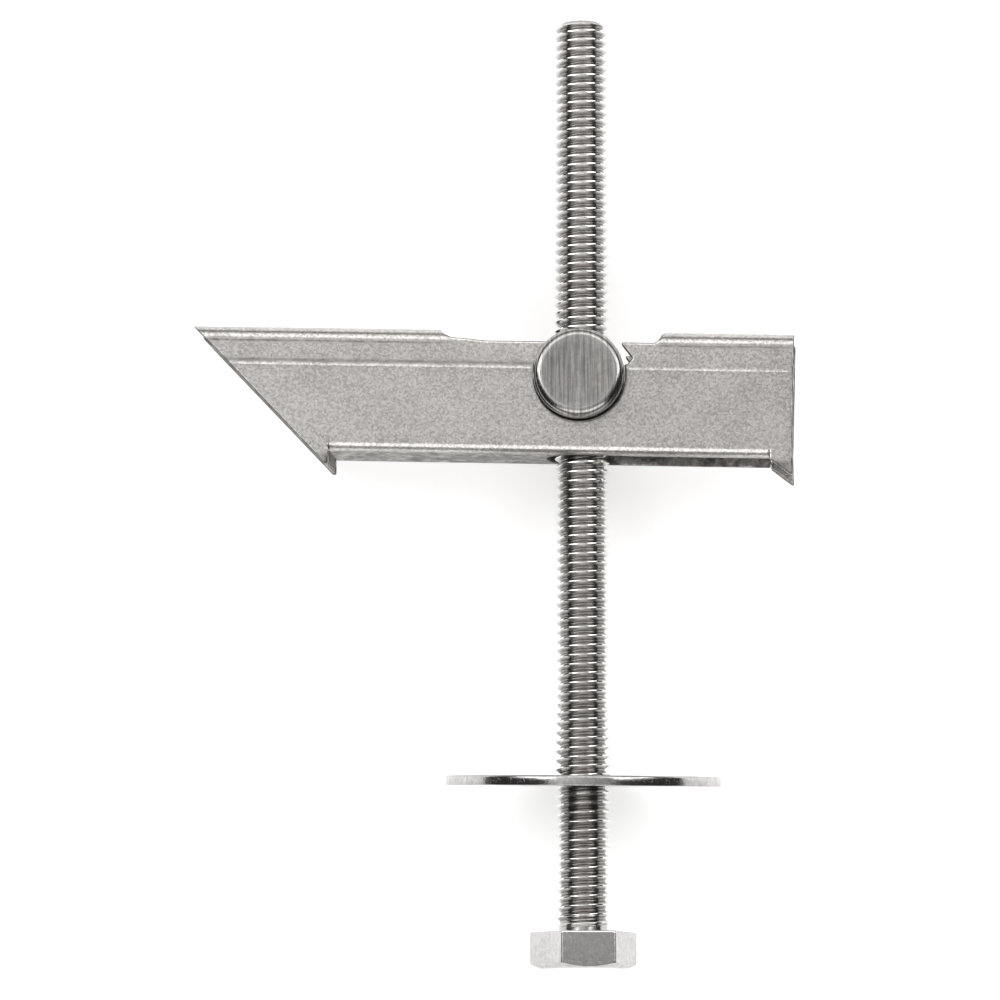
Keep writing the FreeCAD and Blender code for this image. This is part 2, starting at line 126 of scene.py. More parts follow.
def thread_tree():
    """Nodes that roll a thread: a helical strip whose radius follows the pitch."""
    tree = bpy.data.node_groups.new("rolled_thread", "GeometryNodeTree")
    names = {}
    for name, kind, default in (
            ("Length", "NodeSocketFloat", 0.1), ("Radius", "NodeSocketFloat", 0.003),
            ("Pitch", "NodeSocketFloat", 0.001), ("Depth", "NodeSocketFloat", 0.0006),
            ("Neck Radius", "NodeSocketFloat", 0.0026), ("Neck End", "NodeSocketFloat", 0.001),
            ("Tip Bevel", "NodeSocketFloat", 0.0007), ("Sides", "NodeSocketInt", 40),
            ("Rows per Turn", "NodeSocketInt", 16), ("Material", "NodeSocketMaterial", None)):
        names[name] = socket(tree, name, kind, default)
    socket(tree, "Geometry", "NodeSocketGeometry", out=True)
    given = tree.nodes.new("NodeGroupInput").outputs
    rows = sums(tree, "MULTIPLY", given["Rows per Turn"],
                sums(tree, "ADD", sums(tree, "DIVIDE", given["Length"], given["Pitch"]),
                     2 * SPARE_TURNS))
    grid = tree.nodes.new("GeometryNodeMeshGrid")
    wire(tree, grid, Size_X=1.0, Size_Y=1.0, Vertices_X=sums(tree, "ADD", rows, 1.0),
         Vertices_Y=sums(tree, "ADD", given["Sides"], 1.0))
    place = tree.nodes.new("ShaderNodeSeparateXYZ")
    tree.links.new(tree.nodes.new("GeometryNodeInputPosition").outputs[0], place.inputs[0])
    # the strip's rows wind up the bolt, and what lies past its ends is drawn in to them
    row = sums(tree, "MULTIPLY", sums(tree, "ADD", place.outputs[0], 0.5), rows)
    turns = sums(tree, "DIVIDE", row, given["Rows per Turn"])
    share = sums(tree, "ADD", place.outputs[1], 0.5)
    raw = sums(tree, "MULTIPLY", given["Pitch"],
               sums(tree, "SUBTRACT", sums(tree, "ADD", turns, share), SPARE_TURNS))
    height = sums(tree, "MINIMUM", sums(tree, "MAXIMUM", raw, 0.0), given["Length"])
    # the sixty degree profile: a sharp roof, flattened at the crest, rounded at the root
    phase = sums(tree, "FRACT", turns)
    roof = sums(tree, "MULTIPLY", sums(tree, "ABSOLUTE", sums(tree, "SUBTRACT", phase, 0.5)), 2.0)
    sharp = sums(tree, "SUBTRACT",
                 sums(tree, "ADD", given["Radius"],
                      sums(tree, "MULTIPLY", given["Pitch"], CREST_CUT)),
                 sums(tree, "MULTIPLY", sums(tree, "SUBTRACT", 1.0, roof),
                      sums(tree, "MULTIPLY", given["Pitch"], SHARP_HEIGHT)))
    crest = sums(tree, "SMOOTH_MIN", sharp, given["Radius"],
                 sums(tree, "MULTIPLY", given["Pitch"], CREST_SOFT))
    root = sums(tree, "SMOOTH_MAX", crest, sums(tree, "SUBTRACT", given["Radius"], given["Depth"]),
                sums(tree, "MULTIPLY", given["Pitch"], ROOT_SOFT))
    # the thread dies out towards the neck, and the tip is bevelled
    rise = sums(tree, "DIVIDE", sums(tree, "SUBTRACT", height, given["Neck End"]),
                sums(tree, "MULTIPLY", given["Pitch"], RUN_OUT), clamp=True)
    start = sums(tree, "ADD", given["Neck Radius"],
                 sums(tree, "MULTIPLY", rise, sums(tree, "SUBTRACT", root, given["Neck Radius"])))
    cone = sums(tree, "ADD", sums(tree, "SUBTRACT", given["Radius"], given["Tip Bevel"]),
                sums(tree, "SUBTRACT", given["Length"], height))
    body = sums(tree, "MINIMUM", start, cone)
    below = sums(tree, "DIVIDE", sums(tree, "MULTIPLY", raw, -1.0), given["Pitch"], clamp=True)
    above = sums(tree, "DIVIDE", sums(tree, "SUBTRACT", raw, given["Length"]), given["Pitch"],
                 clamp=True)
    closing = sums(tree, "MULTIPLY", sums(tree, "SUBTRACT", 1.0, below),
                   sums(tree, "SUBTRACT", 1.0, above))
    radius = sums(tree, "MULTIPLY", body, closing)
    angle = sums(tree, "MULTIPLY", share, -2 * math.pi)
    spot = tree.nodes.new("ShaderNodeCombineXYZ")
    wire(tree, spot, i0=sums(tree, "MULTIPLY", radius, sums(tree, "COSINE", angle)), i1=height,
         i2=sums(tree, "MULTIPLY", radius, sums(tree, "SINE", angle)))
    moved = tree.nodes.new("GeometryNodeSetPosition")
    wire(tree, moved, Geometry=grid.outputs["Mesh"], Position=spot.outputs[0])
    merged = tree.nodes.new("GeometryNodeMergeByDistance")
    wire(tree, merged, Geometry=moved.outputs[0], Distance=2e-6)
    real = tree.nodes.new("GeometryNodeRealizeInstances")
    wire(tree, real, Geometry=merged.outputs[0])
    painted = tree.nodes.new("GeometryNodeSetMaterial")
    wire(tree, painted, Geometry=real.outputs[0], Material=given["Material"])
    tree.links.new(painted.outputs[0], tree.nodes.new("NodeGroupOutput").inputs[0])
    return tree, names


def grown(name, tree, names, **values):
    """Run a node tree on an empty mesh with the given inputs, and keep a plain mesh."""
    holder = bpy.data.objects.new(name + "_growing", bpy.data.meshes.new(name + "_growing"))
    bpy.context.scene.collection.objects.link(holder)
    modifier = holder.modifiers.new("growth", "NODES")
    modifier.node_group = tree
    for label, given in values.items():
        modifier[names[label.replace("_", " ")]] = given
    seen = holder.evaluated_get(bpy.context.evaluated_depsgraph_get())
    mesh = bpy.data.meshes.new_from_object(seen)
    holder.modifiers.remove(modifier)
    bpy.data.objects.remove(holder)
    return mesh


def polar_shell(profiles):
    """Mesh from one outline per direction; every outline starts and ends on the axis."""
    made = bmesh.new()
    rings = []
    for points in profiles:
        rings.append([made.verts.new(point) for point in points])
    for number, ring in enumerate(rings):
        following = rings[(number + 1) % len(rings)]
        for step in range(len(ring) - 1):
            corners = [ring[step], ring[step + 1], following[step + 1], following[step]]
            made.faces.new(corners)
    bmesh.ops.remove_doubles(made, verts=made.verts, dist=WELD)
    bmesh.ops.dissolve_degenerate(made, edges=made.edges, dist=1e-8)
    bmesh.ops.recalc_face_normals(made, faces=made.faces)
    return made


def finished(name, made, body, node, material, smooth_angle, place=LAID):
    """Lay a bmesh in its place, give it its finish and let it stand for its solid."""
    mesh = bpy.data.meshes.new(name)
    made.transform(place)
    made.to_mesh(mesh)
    made.free()
    mesh.polygons.foreach_set("use_smooth", [True] * len(mesh.polygons))
    mesh.set_sharp_from_angle(angle=math.radians(smooth_angle))
    piece = bpy.data.objects.new(name, mesh)
    bpy.context.scene.collection.objects.link(piece)
    mesh.materials.clear()
    mesh.materials.append(material)
    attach(piece, body)
    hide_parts(node)


def zinc_film():
    """Effect of bright zinc plate: crystalline grain, cloudy patches and fine specks."""
    tree = bpy.data.node_groups.new("zinc_film", "ShaderNodeTree")
    socket(tree, "Bright", "NodeSocketColor", (0.8, 0.8, 0.8, 1))
    socket(tree, "Dull", "NodeSocketColor", (0.6, 0.6, 0.6, 1))
    socket(tree, "Grain Size", "NodeSocketFloat", 0.00025)
    socket(tree, "Cloud Size", "NodeSocketFloat", 0.006)
    socket(tree, "Speckle", "NodeSocketFloat", 0.5)
    socket(tree, "Least Roughness", "NodeSocketFloat", 0.25)
    socket(tree, "Spread", "NodeSocketFloat", 0.15)
    socket(tree, "Color", "NodeSocketColor", out=True)
    socket(tree, "Roughness", "NodeSocketFloat", out=True)
    socket(tree, "Height", "NodeSocketFloat", out=True)
    given = tree.nodes.new("NodeGroupInput").outputs
    spots = tree.nodes.new("ShaderNodeTexCoord").outputs["Object"]
    grain_scale = sums(tree, "DIVIDE", 1.0, given["Grain Size"])
    cloud = tree.nodes.new("ShaderNodeTexNoise")
    wire(tree, cloud, Vector=spots, Scale=sums(tree, "DIVIDE", 1.0, given["Cloud Size"]),
         Detail=4.0, Roughness=0.6)
    grain = tree.nodes.new("ShaderNodeTexNoise")
    wire(tree, grain, Vector=spots, Scale=grain_scale, Detail=3.0, Roughness=0.75)
    # crystals a little wider than the grain; three parts of grain to two of crystals
    crystal = tree.nodes.new("ShaderNodeTexVoronoi")
    wire(tree, crystal, Vector=spots, Scale=sums(tree, "MULTIPLY", grain_scale, 0.7))
    flake = tree.nodes.new("ShaderNodeSeparateColor")
    wire(tree, flake, i0=crystal.outputs["Color"])
    fine = sums(tree, "ADD", sums(tree, "MULTIPLY", grain.outputs[0], 0.6),
                sums(tree, "MULTIPLY", flake.outputs[0], 0.4))
    both = sums(tree, "ADD", sums(tree, "MULTIPLY", fine, given["Speckle"]),
                sums(tree, "MULTIPLY", cloud.outputs[0],
                     sums(tree, "SUBTRACT", 1.0, given["Speckle"])))
    mask = tree.nodes.new("ShaderNodeMapRange")
    wire(tree, mask, i0=both, i1=0.3, i2=0.7)
    blend = tree.nodes.new("ShaderNodeMix")
    blend.data_type = "RGBA"
    wire(tree, blend, i0=mask.outputs[0], i6=given["Dull"], i7=given["Bright"])
    out = tree.nodes.new("NodeGroupOutput")
    tree.links.new(blend.outputs[2], out.inputs[0])
    tree.links.new(sums(tree, "ADD", given["Least Roughness"],
                        sums(tree, "MULTIPLY", given["Spread"],
                             sums(tree, "SUBTRACT", 1.0, both))), out.inputs[1])
    tree.links.new(fine, out.inputs[2])
    return tree


FILM = zinc_film()


def plated(name, bright, dull, grain, cloud, speckle, roughness, spread, bump):
    """Start a plated steel material; returns it with its tree and its main nodes."""
    material = bpy.data.materials.new(name)
    material.use_nodes = True
    tree = material.node_tree
    shader = tree.nodes["Principled BSDF"]
    shader.inputs["Metallic"].default_value = 1.0
    film = tree.nodes.new("ShaderNodeGroup")
    film.node_tree = FILM
    wire(tree, film, Bright=(*bright, 1), Dull=(*dull, 1), Grain_Size=grain * MM,
         Cloud_Size=cloud * MM, Speckle=speckle, Least_Roughness=roughness, Spread=spread)
    lift = tree.nodes.new("ShaderNodeBump")
    wire(tree, lift, Strength=bump, Distance=0.03 * MM, Height=film.outputs["Height"])
    wire(tree, shader, Base_Color=film.outputs["Color"], Roughness=film.outputs["Roughness"],
         Normal=lift.outputs[0])
    return material, tree, film, lift


def wear_and_painted_light():
    """Effect for plate: a patchy colour and roughness where the mesh marks it with "edge": wear on
    the bolt and washer, wear and painted shade on the channel, and a painted highlight on the
    barrel nut.
    """
    tree = bpy.data.node_groups.new("wear_and_painted_light", "ShaderNodeTree")
    socket(tree, "Edge", "NodeSocketFloat", 0.0)
    socket(tree, "Color", "NodeSocketColor", (0.6, 0.6, 0.6, 1))
    socket(tree, "Rubbed Color", "NodeSocketColor", (0.3, 0.3, 0.3, 1))
    socket(tree, "Roughness", "NodeSocketFloat", 0.3)
    socket(tree, "Rubbed Roughness", "NodeSocketFloat", 0.4)
    socket(tree, "Patch Size", "NodeSocketFloat", 0.0008)
    socket(tree, "Amount", "NodeSocketFloat", 0.5)
    socket(tree, "Color", "NodeSocketColor", out=True)
    socket(tree, "Roughness", "NodeSocketFloat", out=True)
    given = tree.nodes.new("NodeGroupInput").outputs
    patch = tree.nodes.new("ShaderNodeTexNoise")
    wire(tree, patch, Vector=tree.nodes.new("ShaderNodeTexCoord").outputs["Object"],
         Scale=sums(tree, "DIVIDE", 1.0, given["Patch Size"]), Detail=3.0, Roughness=0.7)
    share = tree.nodes.new("ShaderNodeMapRange")
    wire(tree, share, i0=patch.outputs[0], i1=0.3, i2=0.6, i3=0.35, i4=1.0)
    marked_share = sums(tree, "MULTIPLY", sums(tree, "MULTIPLY", given["Edge"], given["Amount"]),
                  share.outputs[0], clamp=True)
    blend = tree.nodes.new("ShaderNodeMix")
    blend.data_type = "RGBA"
    wire(tree, blend, i0=marked_share, i6=given["Color"], i7=given["Rubbed Color"])
    rough = tree.nodes.new("ShaderNodeMix")
    wire(tree, rough, i0=marked_share, i2=given["Roughness"], i3=given["Rubbed Roughness"])
    out = tree.nodes.new("NodeGroupOutput")
    tree.links.new(blend.outputs[2], out.inputs[0])
    tree.links.new(rough.outputs[0], out.inputs[1])
    return tree


WEAR_AND_PAINTED_LIGHT = wear_and_painted_light()


def apply_wear_and_painted_light(tree, color, roughness, marked_color, marked_roughness, patch, amount):
    """Put wear and painted light on a material where its mesh marks them, and feed its shader."""
    mark = tree.nodes.new("ShaderNodeAttribute")
    mark.attribute_name = "edge"
    marking_node = tree.nodes.new("ShaderNodeGroup")
    marking_node.node_tree = WEAR_AND_PAINTED_LIGHT
    wire(tree, marking_node, Edge=mark.outputs["Fac"], Color=color, Rubbed_Color=(*marked_color, 1),
         Roughness=roughness, Rubbed_Roughness=marked_roughness, Patch_Size=patch * MM, Amount=amount)
    wire(tree, tree.nodes["Principled BSDF"], Base_Color=marking_node.outputs["Color"],
         Roughness=marking_node.outputs["Roughness"])


def mark_edges(made, measure):
    """Store how near each point is to a worn edge or to a painted highlight, from 0 to 1, as the
    mesh's "edge".
    """
    layer = made.verts.layers.float.new("edge")
    for vertex in made.verts:
        vertex[layer] = max(0.0, min(1.0, measure(vertex.co / MM)))


def hollow_mask():
    """Effect for a bolt: a mask for the painted shade in the depth of its thread, and apart from it
    one on its head.
    """
    tree = bpy.data.node_groups.new("thread_hollows", "ShaderNodeTree")
    socket(tree, "Middle", "NodeSocketVector", (0.0, 0.0, 0.0))
    socket(tree, "Along", "NodeSocketVector", (0.0, 1.0, 0.0))
    socket(tree, "Root Radius", "NodeSocketFloat", 0.0024)
    socket(tree, "Crest Radius", "NodeSocketFloat", 0.003)
    socket(tree, "Thread Start", "NodeSocketFloat", 0.0)
    socket(tree, "Thread End", "NodeSocketFloat", 0.1)
    socket(tree, "Hollows", "NodeSocketFloat", out=True)
    socket(tree, "Head", "NodeSocketFloat", out=True)
    given = tree.nodes.new("NodeGroupInput").outputs
    spots = tree.nodes.new("ShaderNodeTexCoord").outputs["Object"]
    steps = {}
    for operation in ("SUBTRACT", "CROSS_PRODUCT", "LENGTH", "DOT_PRODUCT"):
        steps[operation] = tree.nodes.new("ShaderNodeVectorMath")
        steps[operation].operation = operation
    wire(tree, steps["SUBTRACT"], i0=spots, i1=given["Middle"])
    from_middle = steps["SUBTRACT"].outputs["Vector"]
    wire(tree, steps["CROSS_PRODUCT"], i0=from_middle, i1=given["Along"])
    wire(tree, steps["LENGTH"], i0=steps["CROSS_PRODUCT"].outputs["Vector"])
    wire(tree, steps["DOT_PRODUCT"], i0=from_middle, i1=given["Along"])
    place = steps["DOT_PRODUCT"].outputs["Value"]
    depth = tree.nodes.new("ShaderNodeMapRange")
    wire(tree, depth, i0=steps["LENGTH"].outputs["Value"], i1=given["Crest Radius"],
         i2=given["Root Radius"])
    threaded = sums(tree, "MULTIPLY", sums(tree, "GREATER_THAN", place, given["Thread Start"]),
                    sums(tree, "LESS_THAN", place, given["Thread End"]))
    out = tree.nodes.new("NodeGroupOutput")
    tree.links.new(sums(tree, "MULTIPLY", depth.outputs[0], threaded), out.inputs[0])
    tree.links.new(sums(tree, "LESS_THAN", place, given["Thread Start"]), out.inputs[1])
    return tree


bolt_zinc, tree, film, _ = plated(
    "bolt_zinc", bright=(0.95, 0.935, 0.92), dull=(0.70, 0.69, 0.68), grain=0.25, cloud=4.0,
    speckle=0.5, roughness=0.06, spread=0.12, bump=0.25)
# the depth of the thread is duller than its crests and darker with painted shade, and the forged
# head is duller and darker
hollows = tree.nodes.new("ShaderNodeGroup")
hollows.node_tree = hollow_mask()
wire(tree, hollows, Middle=pivot, Along=along, Root_Radius=SHADE_FULL * MM,
     Crest_Radius=SHADE_ENDS * MM, Thread_Start=-NUT_PLACE * MM,
     Thread_End=(BOLT_LENGTH - NUT_PLACE - 0.01) * MM)
darker = film.outputs["Color"]
for mask, shade in (("Hollows", (0.33, 0.32, 0.315, 1)), ("Head", (0.66, 0.655, 0.66, 1))):
    shaded = tree.nodes.new("ShaderNodeMix")
    shaded.data_type = "RGBA"
    shaded.blend_type = "MULTIPLY"
    wire(tree, shaded, i0=hollows.outputs[mask], i6=darker, i7=shade)
    darker = shaded.outputs[2]
rougher = sums(tree, "ADD", film.outputs["Roughness"],
               sums(tree, "MULTIPLY", hollows.outputs["Hollows"], 0.12))
apply_wear_and_painted_light(tree, darker, rougher, marked_color=(0.30, 0.29, 0.28), marked_roughness=0.3, patch=0.7, amount=0.5)

tree, names = thread_tree()
thread = grown("bolt_thread", tree, names, Length=BOLT_LENGTH * MM, Radius=THREAD_RADIUS * MM,
               Pitch=THREAD_PITCH * MM, Depth=THREAD_DEPTH * MM,
               Neck_Radius=NECK_RADIUS * MM, Neck_End=NECK_END * MM, Tip_Bevel=TIP_BEVEL * MM,
               Sides=40, Rows_per_Turn=16, Material=bolt_zinc)

# directions in which the head is drawn, closer together near its corners
directions = []
for side in range(6):
    for offset in (-30, -29, -28, -27, -25.5, -24, -21, -17, -12, -6, 0,
                   6, 12, 17, 21, 24, 25.5, 27, 28, 29):
        directions.append((offset, math.radians(90 - HEAD_TURN + 60 * side + offset)))


def hexagon_reach(offset):
    """Distance from the axis to the head's side, in a direction off a flat's middle."""
    half = HEAD_FLATS / 2
    straight = half / math.cos(math.radians(offset))
    from_corner = math.radians(30 - abs(offset))
    centre = (half - CORNER_ROUND) / math.cos(math.radians(30))
    inside = CORNER_ROUND ** 2 - (centre * math.sin(from_corner)) ** 2
    if inside > 0 and from_corner < CORNER_SPREAD:
        return min(straight, centre * math.cos(from_corner) + math.sqrt(inside))
    return straight


profiles = []
for offset, angle in directions:
    reach = hexagon_reach(offset)
    turn_down = HEAD_HEIGHT - (reach - HEAD_FACE) * math.tan(HEAD_BEVEL)
    outline = [(0, 0.0), (reach - 5 * UNDER_SOFT, 0.0), (reach - 2 * UNDER_SOFT, 0.0),
               (reach - 0.6 * UNDER_SOFT, 0.2 * UNDER_SOFT), (reach, UNDER_SOFT),
               (reach, 3 * UNDER_SOFT), (reach, HEAD_HEIGHT / 2),
               (reach, turn_down - 2 * HEAD_SOFT), (reach, turn_down - HEAD_SOFT),
               (reach - HEAD_SOFT / 3, turn_down + HEAD_SOFT / 9),
               (reach - 1.2 * HEAD_SOFT, turn_down + 0.55 * HEAD_SOFT),
               ((reach + HEAD_FACE) / 2, (turn_down + HEAD_HEIGHT) / 2),
               (HEAD_FACE + HEAD_SOFT, HEAD_HEIGHT - HEAD_SOFT / 2),
               (HEAD_FACE, HEAD_HEIGHT - HEAD_SOFT / 9), (HEAD_FACE - HEAD_SOFT, HEAD_HEIGHT),
               (HEAD_FACE - 5 * UNDER_SOFT, HEAD_HEIGHT), (HEAD_FACE / 2, HEAD_HEIGHT),
               (0, HEAD_HEIGHT)]
    profiles.append([Vector((r * math.cos(angle), -h, r * math.sin(angle))) * MM
                     for r, h in outline])
head = polar_shell(profiles)


def head_edge(spot):
    """Nearness of a point of the head to its turned rim or to one of its corners."""
    out = math.hypot(spot.x, spot.z)
    rim = HEAD_HEIGHT - (out - HEAD_FACE) * math.tan(HEAD_BEVEL)
    near_rim = 1 - abs(-spot.y - rim) / 0.25 if out > HEAD_FACE + 0.2 else 0.0
    near_corner = (out - CORNER_RUBBED) / 0.12 if -spot.y > 3 * UNDER_SOFT else 0.0
    return max(near_rim, near_corner)


mark_edges(head, head_edge)
head.from_mesh(thread)
bmesh.ops.recalc_face_normals(head, faces=head.faces)
to_head = LAID @ Matrix.Translation((0, -NUT_PLACE * MM, 0))
finished("bolt_with_head", head, "bolt", "hex_bolt", bolt_zinc, 40, to_head)

# Washer
# A large flat washer, punched from sheet and zinc plated. It hangs loose on the bolt
# and stands on its rim, leaning a little.

WASHER_RADIUS = 14.985
WASHER_BORE = 3.2
WASHER_SHEET = 1.1
RIM_ROLL = 0.26         # the rim is rolled over on the punch's side, and keeps a fine
RIM_BURR = 0.1          # rounding on the other
BORE_ROLL = 0.2
BORE_BURR = 0.12
FACE_RINGS = (3.8, 5.0, 8.0, 12.0)
WASHER_SIDES = 180
WASHER_PLACE = 16.3
WASHER_LEAN = math.radians(4.6)
WASHER_SKEW = math.radians(0.4)

half_sheet = WASHER_SHEET / 2


def quarter(points):
    """Angles of a rounded edge, from nothing to a right angle."""
    return [math.radians(90 * step / (points - 1)) for step in range(points)]


# once round the cut through the ring, from the punch's side of its rim
ring_outline = [(WASHER_RADIUS - RIM_ROLL + RIM_ROLL * math.sin(a),
                 half_sheet - RIM_ROLL * (1 - math.cos(a))) for a in quarter(5)]
ring_outline += [(WASHER_RADIUS - RIM_BURR * (1 - math.cos(a)),
                  -half_sheet + RIM_BURR - RIM_BURR * math.sin(a)) for a in quarter(4)]
ring_outline += [(radius, -half_sheet) for radius in (14.5, *reversed(FACE_RINGS))]
ring_outline += [(WASHER_BORE + BORE_BURR - BORE_BURR * math.sin(a),
                  -half_sheet + BORE_BURR * (1 - math.cos(a))) for a in quarter(4)]
ring_outline += [(WASHER_BORE + BORE_ROLL * (1 - math.cos(a)),
                  half_sheet - BORE_ROLL + BORE_ROLL * math.sin(a)) for a in quarter(4)]
ring_outline += [(radius, half_sheet) for radius in (*FACE_RINGS, 14.3)]
made = bmesh.new()
rings = []
for number in range(WASHER_SIDES):
    angle = 2 * math.pi * number / WASHER_SIDES
    rings.append([made.verts.new(Vector((r * math.cos(angle), y, r * math.sin(angle))) * MM)
                  for r, y in ring_outline])
for number, ring in enumerate(rings):
    following = rings[(number + 1) % len(rings)]
    for step in range(len(ring)):
        after = (step + 1) % len(ring)
        made.faces.new((ring[step], ring[after], following[after], following[step]))
bmesh.ops.remove_doubles(made, verts=made.verts, dist=WELD)
bmesh.ops.recalc_face_normals(made, faces=made.faces)
washer_zinc, tree, film, _ = plated(
    "washer_zinc", bright=(0.66, 0.655, 0.645), dull=(0.42, 0.415, 0.41), grain=0.3,
    cloud=5.0, speckle=0.45, roughness=0.08, spread=0.12, bump=0.4)
apply_wear_and_painted_light(tree, film.outputs["Color"], film.outputs["Roughness"], marked_color=(0.24, 0.23, 0.22),
    marked_roughness=0.22, patch=1.1, amount=0.8)
mark_edges(made, lambda spot: 1 - math.hypot(
    math.hypot(spot.x, spot.z) - WASHER_RADIUS, abs(spot.y) - half_sheet) / 0.35)
# the roll of the bolt about its own axis is taken out, so the washer leans upright
roll = math.asin(max(-1.0, min(1.0, across.z)))
to_washer = (LAID @ Matrix.Translation((0, (WASHER_PLACE - NUT_PLACE) * MM, 0))
             @ Matrix.Rotation(roll, 4, "Y") @ Matrix.Rotation(WASHER_LEAN, 4, "X")
             @ Matrix.Rotation(-WASHER_SKEW, 4, "Z"))
finished("punched_washer", made, "washer", "flat_washer", washer_zinc, 30,
         to_washer)

# Barrel nut
# A round bar turned with rounded ends, drilled and tapped across, zinc plated. It
# lies in the seats of the channel and stands out of both walls.

BARREL_RADIUS = 4.9
BARREL_HALF = 7.0
BARREL_ROUND = 0.9
BORE_RADIUS = 3.025
FLARE_WIDTH = 0.55      # how far the bore's countersinks widen
FLARE_TOP = 0.35        # they run between these depths below the barrel's side
FLARE_FOOT = 0.75
DRILL_REACH = 6.0       # how far the drill stands out from the middle, past the barrel
FACE_SUPPORT = (2.0, 3.2)
SIDE_SUPPORT = (4.8, 3.0)


def lathe(outline, sides, axis):
    """Turn an outline of (radius, place) pairs about the Y or the Z axis."""
    profiles = []
    for number in range(sides):
        angle = 2 * math.pi * number / sides
        a, b = math.cos(angle), math.sin(angle)
        if axis == "Z":
            profiles.append([Vector((r * a, r * b, h)) * MM for r, h in outline])
        else:
            profiles.append([Vector((r * a, h, r * b)) * MM for r, h in outline])
    return polar_shell(profiles)


barrel_outline = [(r, BARREL_HALF)
                  for r in (0, *FACE_SUPPORT, BARREL_RADIUS - BARREL_ROUND - 0.15)]
barrel_outline += [(BARREL_RADIUS - BARREL_ROUND * (1 - math.sin(a)),
                    BARREL_HALF - BARREL_ROUND * (1 - math.cos(a))) for a in quarter(9)]
barrel_outline += [(BARREL_RADIUS, h) for h in (*SIDE_SUPPORT, 0.0)]
barrel_outline += [(r, -h) for r, h in reversed(barrel_outline[:-1])]
barrel_mesh = bpy.data.meshes.new("barrel")
made = lathe(barrel_outline, 128, "Z")
made.to_mesh(barrel_mesh)
made.free()
# the drill that is taken out of the barrel, with a head for the countersinks at both ends
bore_outline = [(0, DRILL_REACH), (BORE_RADIUS + 2.0, DRILL_REACH),
                (BORE_RADIUS + FLARE_WIDTH, BARREL_RADIUS - FLARE_TOP),
                (BORE_RADIUS, BARREL_RADIUS - FLARE_FOOT), (BORE_RADIUS, 0.0)]
bore_outline += [(r, -h) for r, h in reversed(bore_outline[:-1])]
bore_mesh = bpy.data.meshes.new("bore")
made = lathe(bore_outline, 96, "Y")
made.to_mesh(bore_mesh)
made.free()
barrel = bpy.data.objects.new("barrel_raw", barrel_mesh)
borer = bpy.data.objects.new("borer", bore_mesh)
bpy.context.scene.collection.objects.link(barrel)
bpy.context.scene.collection.objects.link(borer)
drill = barrel.modifiers.new("drill", "BOOLEAN")
drill.operation = "DIFFERENCE"
drill.solver = "EXACT"
drill.object = borer
soften = barrel.modifiers.new("soften", "BEVEL")
soften.width = 0.08 * MM
soften.segments = 2
soften.limit_method = "ANGLE"
soften.angle_limit = math.radians(40)
drilled = bpy.data.meshes.new_from_object(
    barrel.evaluated_get(bpy.context.evaluated_depsgraph_get()))
bpy.data.objects.remove(barrel)
bpy.data.objects.remove(borer)
made = bmesh.new()
made.from_mesh(drilled)
bmesh.ops.remove_doubles(made, verts=made.verts, dist=WELD)
bmesh.ops.recalc_face_normals(made, faces=made.faces)
nut_zinc, tree, film, lift = plated(
    "nut_zinc", bright=(0.44, 0.425, 0.415), dull=(0.29, 0.28, 0.275), grain=0.3, cloud=3.0,
    speckle=0.4, roughness=0.12, spread=0.14, bump=0.25)


def face_rim(spot):
    """Nearness of a point of the barrel to the rim of one of its flat faces."""
    if abs(spot.z) <= BARREL_HALF - 1.0:
        return 0.0
    return 1 - abs(math.hypot(spot.x, spot.y) - BARREL_RADIUS + BARREL_ROUND) / 0.25


mark_edges(made, face_rim)
# brush marks along Y on the faces
marks = tree.nodes.new("ShaderNodeTexNoise")
stretch = tree.nodes.new("ShaderNodeMapping")
wire(tree, stretch, Vector=tree.nodes.new("ShaderNodeTexCoord").outputs["Object"],
     Scale=(5200.0, 160.0, 160.0))
wire(tree, marks, Vector=stretch.outputs[0], Scale=1.0, Detail=3.0, Roughness=0.6)
streak = tree.nodes.new("ShaderNodeMapRange")
wire(tree, streak, i0=marks.outputs[0], i1=0.35, i2=0.65, i3=0.55, i4=1.15)
tinted = tree.nodes.new("ShaderNodeMix")
tinted.data_type = "RGBA"
tinted.blend_type = "MULTIPLY"
wire(tree, tinted, i0=1.0, i6=film.outputs["Color"], i7=streak.outputs[0])
# the rim of each flat face is painted lighter and glossier than the rest: a painted highlight
apply_wear_and_painted_light(tree, tinted.outputs[2], film.outputs["Roughness"], marked_color=(0.62, 0.61, 0.60),
    marked_roughness=0.16, patch=0.9, amount=0.6)
brushed = tree.nodes.new("ShaderNodeBump")
wire(tree, brushed, Strength=0.5, Distance=0.02 * MM, Height=marks.outputs[0],
     Normal=lift.outputs[0])
wire(tree, tree.nodes["Principled BSDF"], Normal=brushed.outputs[0])
finished("barrel_nut", made, "nut", "trunnion_nut", nut_zinc, 30)

# Channel
# One strip of sheet steel, blanked, then folded: a closed web, two creased walls and
# a rolled lip over each, zinc plated. It hangs on the barrel nut by its open seats.

